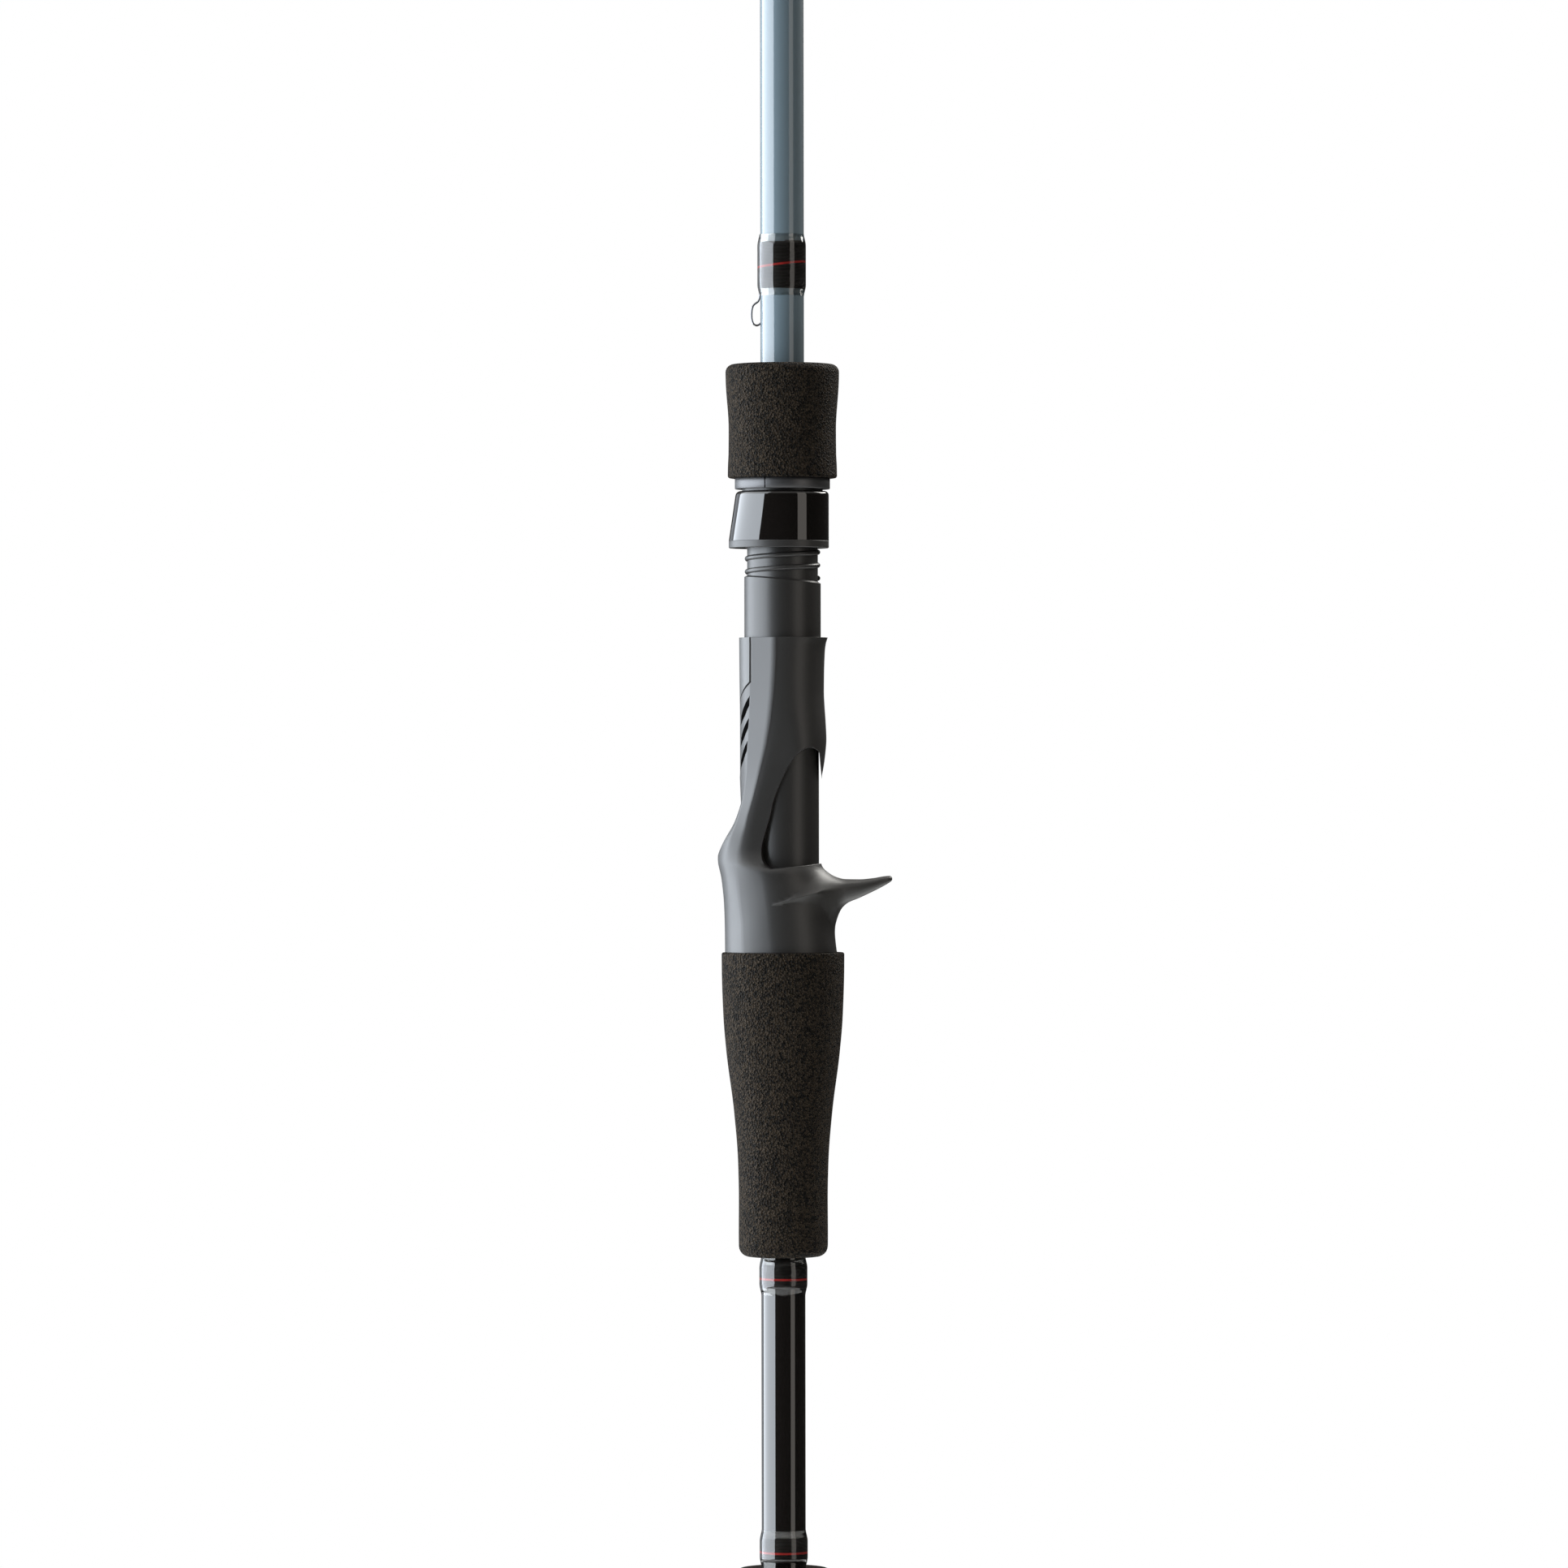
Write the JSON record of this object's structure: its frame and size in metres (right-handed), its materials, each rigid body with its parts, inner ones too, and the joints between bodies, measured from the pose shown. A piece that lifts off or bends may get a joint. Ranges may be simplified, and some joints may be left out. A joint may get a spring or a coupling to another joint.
{
  "type": "casting rod",
  "caption": "Casting rod with a trigger reel seat, foam split grips, a screw-down moving hood, a hook keeper and line guides.",
  "frame": {"origin": "centre of the flat underside of the butt cap", "axes": "+Z along the rod towards the tip, +X on the trigger side, -X on the side of the reel and the guides"},
  "size_m": [0.0518, 0.0304, 1.8295],
  "materials": {
    "blank_paint": "blue-grey gloss lacquer over carbon fibre",
    "black_gloss": "black gloss lacquer",
    "seat_composite": "satin moulded carbon-filled nylon",
    "strip_satin": "satin moulded nylon",
    "ring_satin": "satin grey",
    "eva_foam": "closed-cell EVA foam, sanded",
    "rubber_black": "matte black",
    "steel_smoke": "smoke-plated stainless steel",
    "ceramic_ring": "polished",
    "wrap_thread": "black nylon thread",
    "trim_thread": "red metallic thread",
    "epoxy_coat": "clear rod finish",
    "bush_foam": "rigid urethane foam",
    "carbon_raw": "unpainted carbon fibre"
  },
  "bodies": {
    "rod": {"blank": "blank_paint", "handle_tube": "black_gloss", "splice_spigot": "carbon_raw", "butt_cap": "rubber_black", "butt_grip": "eva_foam", "rear_grip": "eva_foam", "seat_barrel": "seat_composite", "arbor_front": "bush_foam", "arbor_rear": "bush_foam", "seat_shell": "seat_composite", "saddle_insert": "strip_satin", "hook_keeper": "steel_smoke", "keeper_wrap": "wrap_thread", "keeper_wrap_trim": "trim_thread", "keeper_wrap_coat": "epoxy_coat", "rear_wrap": "wrap_thread", "rear_wrap_trim": "trim_thread", "rear_wrap_coat": "epoxy_coat", "butt_wrap": "wrap_thread", "butt_wrap_trim": "trim_thread", "butt_wrap_coat": "epoxy_coat", "guide_1_frame": "steel_smoke", "guide_1_ring": "ceramic_ring", "guide_1_wrap": "wrap_thread", "guide_2_frame": "steel_smoke", "guide_2_ring": "ceramic_ring", "guide_2_wrap": "wrap_thread", "guide_3_frame": "steel_smoke", "guide_3_ring": "ceramic_ring", "guide_3_wrap": "wrap_thread", "guide_4_frame": "steel_smoke", "guide_4_ring": "ceramic_ring", "guide_4_wrap": "wrap_thread", "guide_5_frame": "steel_smoke", "guide_5_ring": "ceramic_ring", "guide_5_wrap": "wrap_thread", "guide_6_frame": "steel_smoke", "guide_6_ring": "ceramic_ring", "guide_6_wrap": "wrap_thread", "guide_7_frame": "steel_smoke", "guide_7_ring": "ceramic_ring", "guide_7_wrap": "wrap_thread", "tip_top_frame": "steel_smoke", "tip_top_ring": "ceramic_ring", "tip_top_wrap": "wrap_thread"},
    "hood": {"moving_hood": "black_gloss", "hood_liner": "seat_composite"},
    "nut": {"lock_nut": "seat_composite", "retaining_ring": "ring_satin", "foregrip": "eva_foam"}
  },
  "joints": [
    {"name": "hood_slide", "type": "slide", "parent": "rod", "child": "hood", "axis": [0, 0, -1], "range_m": [0, 0.0212]},
    {"name": "nut_spin", "type": "hinge", "parent": "hood", "child": "nut", "pos_m": [0, 0, 0.36], "axis": [0, 0, -1], "range_deg": [0, 2380]}
  ],
  "couplings": [
    {"joint": "hood_slide", "follows": "nut_spin", "m_per_rad": 0.0005093}
  ]
}
